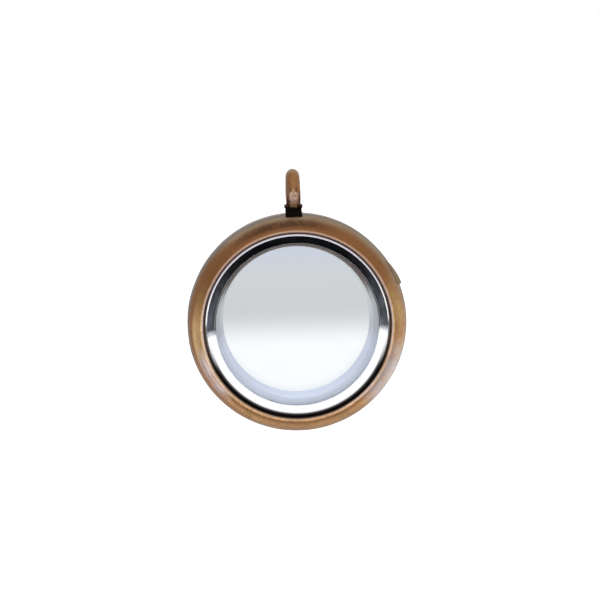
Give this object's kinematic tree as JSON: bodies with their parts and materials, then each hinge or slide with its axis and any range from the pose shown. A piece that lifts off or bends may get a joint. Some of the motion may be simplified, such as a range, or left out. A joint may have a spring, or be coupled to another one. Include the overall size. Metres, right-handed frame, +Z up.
{
  "type": "locket",
  "caption": "Round hinged locket in aged copper with a glass window front and back, a lined chamber for charms and a swinging bail for a chain.",
  "frame": {"origin": "centre of the round opening for the chain in the bail, on the axis of that opening", "axes": "+X to the viewer's right across the front of the locket, along the bail's opening; +Y to the back of the locket; +Z up, with the locket hanging from the bail"},
  "size_m": [0.03, 0.0077, 0.0359],
  "materials": {
    "aged_copper": "aged copper plating with darker recesses and rubbed edges",
    "blackened_copper": "blackened aged copper",
    "polished_steel": "mirror polished",
    "pin_steel": "darkened wire",
    "magnet": "nickel plated",
    "gasket": "matt",
    "glass": "clear polished"
  },
  "bodies": {
    "bail": {"bail": "aged_copper"},
    "rear_case": {"rear_case": "aged_copper", "rear_gasket": "gasket", "rear_window_ring": "polished_steel", "rear_glass": "glass", "chamber_liner": "polished_steel", "rear_magnets": "magnet", "rear_knuckles": "aged_copper", "hinge_pin": "pin_steel", "bail_lug": "blackened_copper", "bail_pin": "pin_steel"},
    "front_cover": {"front_bezel": "aged_copper", "front_gasket": "gasket", "front_window_ring": "polished_steel", "front_glass": "glass", "front_magnets": "magnet", "front_knuckle": "aged_copper", "nail_tab": "aged_copper"}
  },
  "joints": [
    {"name": "case_swing", "type": "hinge", "parent": "bail", "child": "rear_case", "pos_m": [0, 0, -0.0026], "axis": [1, 0, 0], "range_deg": [-45, 45]},
    {"name": "cover_hinge", "type": "hinge", "parent": "rear_case", "child": "front_cover", "pos_m": [-0.01435, -0.00122, -0.0185], "axis": [0, 0, -1], "range_deg": [0, 95]}
  ]
}
